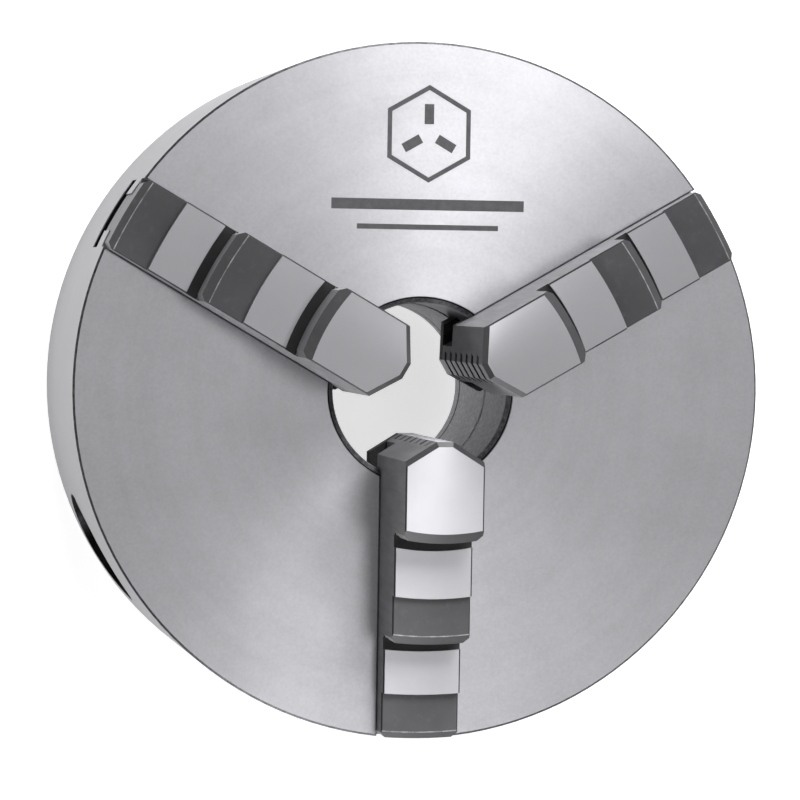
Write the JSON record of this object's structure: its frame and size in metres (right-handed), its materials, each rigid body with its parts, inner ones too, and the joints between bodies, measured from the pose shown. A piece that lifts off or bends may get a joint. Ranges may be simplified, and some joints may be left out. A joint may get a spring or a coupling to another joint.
{
  "type": "lathe chuck",
  "caption": "Round self-centring scroll chuck for a lathe, with stepped hardened jaws in radial slots, bevel key pinions, a spiral scroll plate and a through bore.",
  "frame": {"origin": "on the spindle axis, in the plane of the back face that meets the backplate", "axes": "+Z along the spindle axis, from the back face towards the jaws; +Y from the axis to the key pinion opposite the first jaw"},
  "size_m": [0.16, 0.16, 0.095],
  "materials": {
    "body_iron": "fine-turned bright",
    "cover_iron": "turned",
    "scroll_steel": "machined, oiled",
    "pinion_steel": "hardened, turned",
    "jaw_steel": "hardened and ground",
    "screw_black": "black oxide",
    "retainer_steel": "plain steel"
  },
  "bodies": {
    "chuck_body": {"body": "body_iron", "back_cover": "cover_iron", "cover_screw_1": "screw_black", "cover_screw_2": "screw_black", "cover_screw_3": "screw_black", "cover_screw_4": "screw_black", "cover_screw_5": "screw_black", "cover_screw_6": "screw_black", "pinion_retaining_screw_1": "retainer_steel", "pinion_retaining_screw_2": "retainer_steel", "pinion_retaining_screw_3": "retainer_steel"},
    "scroll": {"scroll_plate": "scroll_steel"},
    "pinion_1": {"pinion_1": "pinion_steel"},
    "pinion_2": {"pinion_2": "pinion_steel"},
    "pinion_3": {"pinion_3": "pinion_steel"},
    "jaw_1": {"jaw_1": "jaw_steel"},
    "jaw_2": {"jaw_2": "jaw_steel"},
    "jaw_3": {"jaw_3": "jaw_steel"}
  },
  "joints": [
    {"name": "scroll_turn", "type": "hinge", "parent": "chuck_body", "child": "scroll", "pos_m": [0, 0, 0.035], "axis": [0, 0, 1], "range_deg": [-720, 405]},
    {"name": "pinion_turn_1", "type": "hinge", "parent": "chuck_body", "child": "pinion_1", "pos_m": [0, 0.07, 0.02], "axis": [0, 1, 0], "range_deg": [-2026, 3601]},
    {"name": "pinion_turn_2", "type": "hinge", "parent": "chuck_body", "child": "pinion_2", "pos_m": [-0.06062, -0.035, 0.02], "axis": [-0.866, -0.5, 0], "range_deg": [-2026, 3601]},
    {"name": "pinion_turn_3", "type": "hinge", "parent": "chuck_body", "child": "pinion_3", "pos_m": [0.06062, -0.035, 0.02], "axis": [0.866, -0.5, 0], "range_deg": [-2026, 3601]},
    {"name": "jaw_slide_1", "type": "slide", "parent": "chuck_body", "child": "jaw_1", "axis": [0, -1, 0], "range_m": [-0.009, 0.016]},
    {"name": "jaw_slide_2", "type": "slide", "parent": "chuck_body", "child": "jaw_2", "axis": [0.866, 0.5, 0], "range_m": [-0.009, 0.016]},
    {"name": "jaw_slide_3", "type": "slide", "parent": "chuck_body", "child": "jaw_3", "axis": [-0.866, 0.5, 0], "range_m": [-0.009, 0.016]}
  ],
  "couplings": [
    {"joint": "pinion_turn_1", "follows": "scroll_turn", "ratio": -5},
    {"joint": "pinion_turn_2", "follows": "scroll_turn", "ratio": -5},
    {"joint": "pinion_turn_3", "follows": "scroll_turn", "ratio": -5},
    {"joint": "jaw_slide_1", "follows": "scroll_turn", "m_per_rad": -0.0012732},
    {"joint": "jaw_slide_2", "follows": "scroll_turn", "m_per_rad": -0.0012732},
    {"joint": "jaw_slide_3", "follows": "scroll_turn", "m_per_rad": -0.0012732}
  ]
}
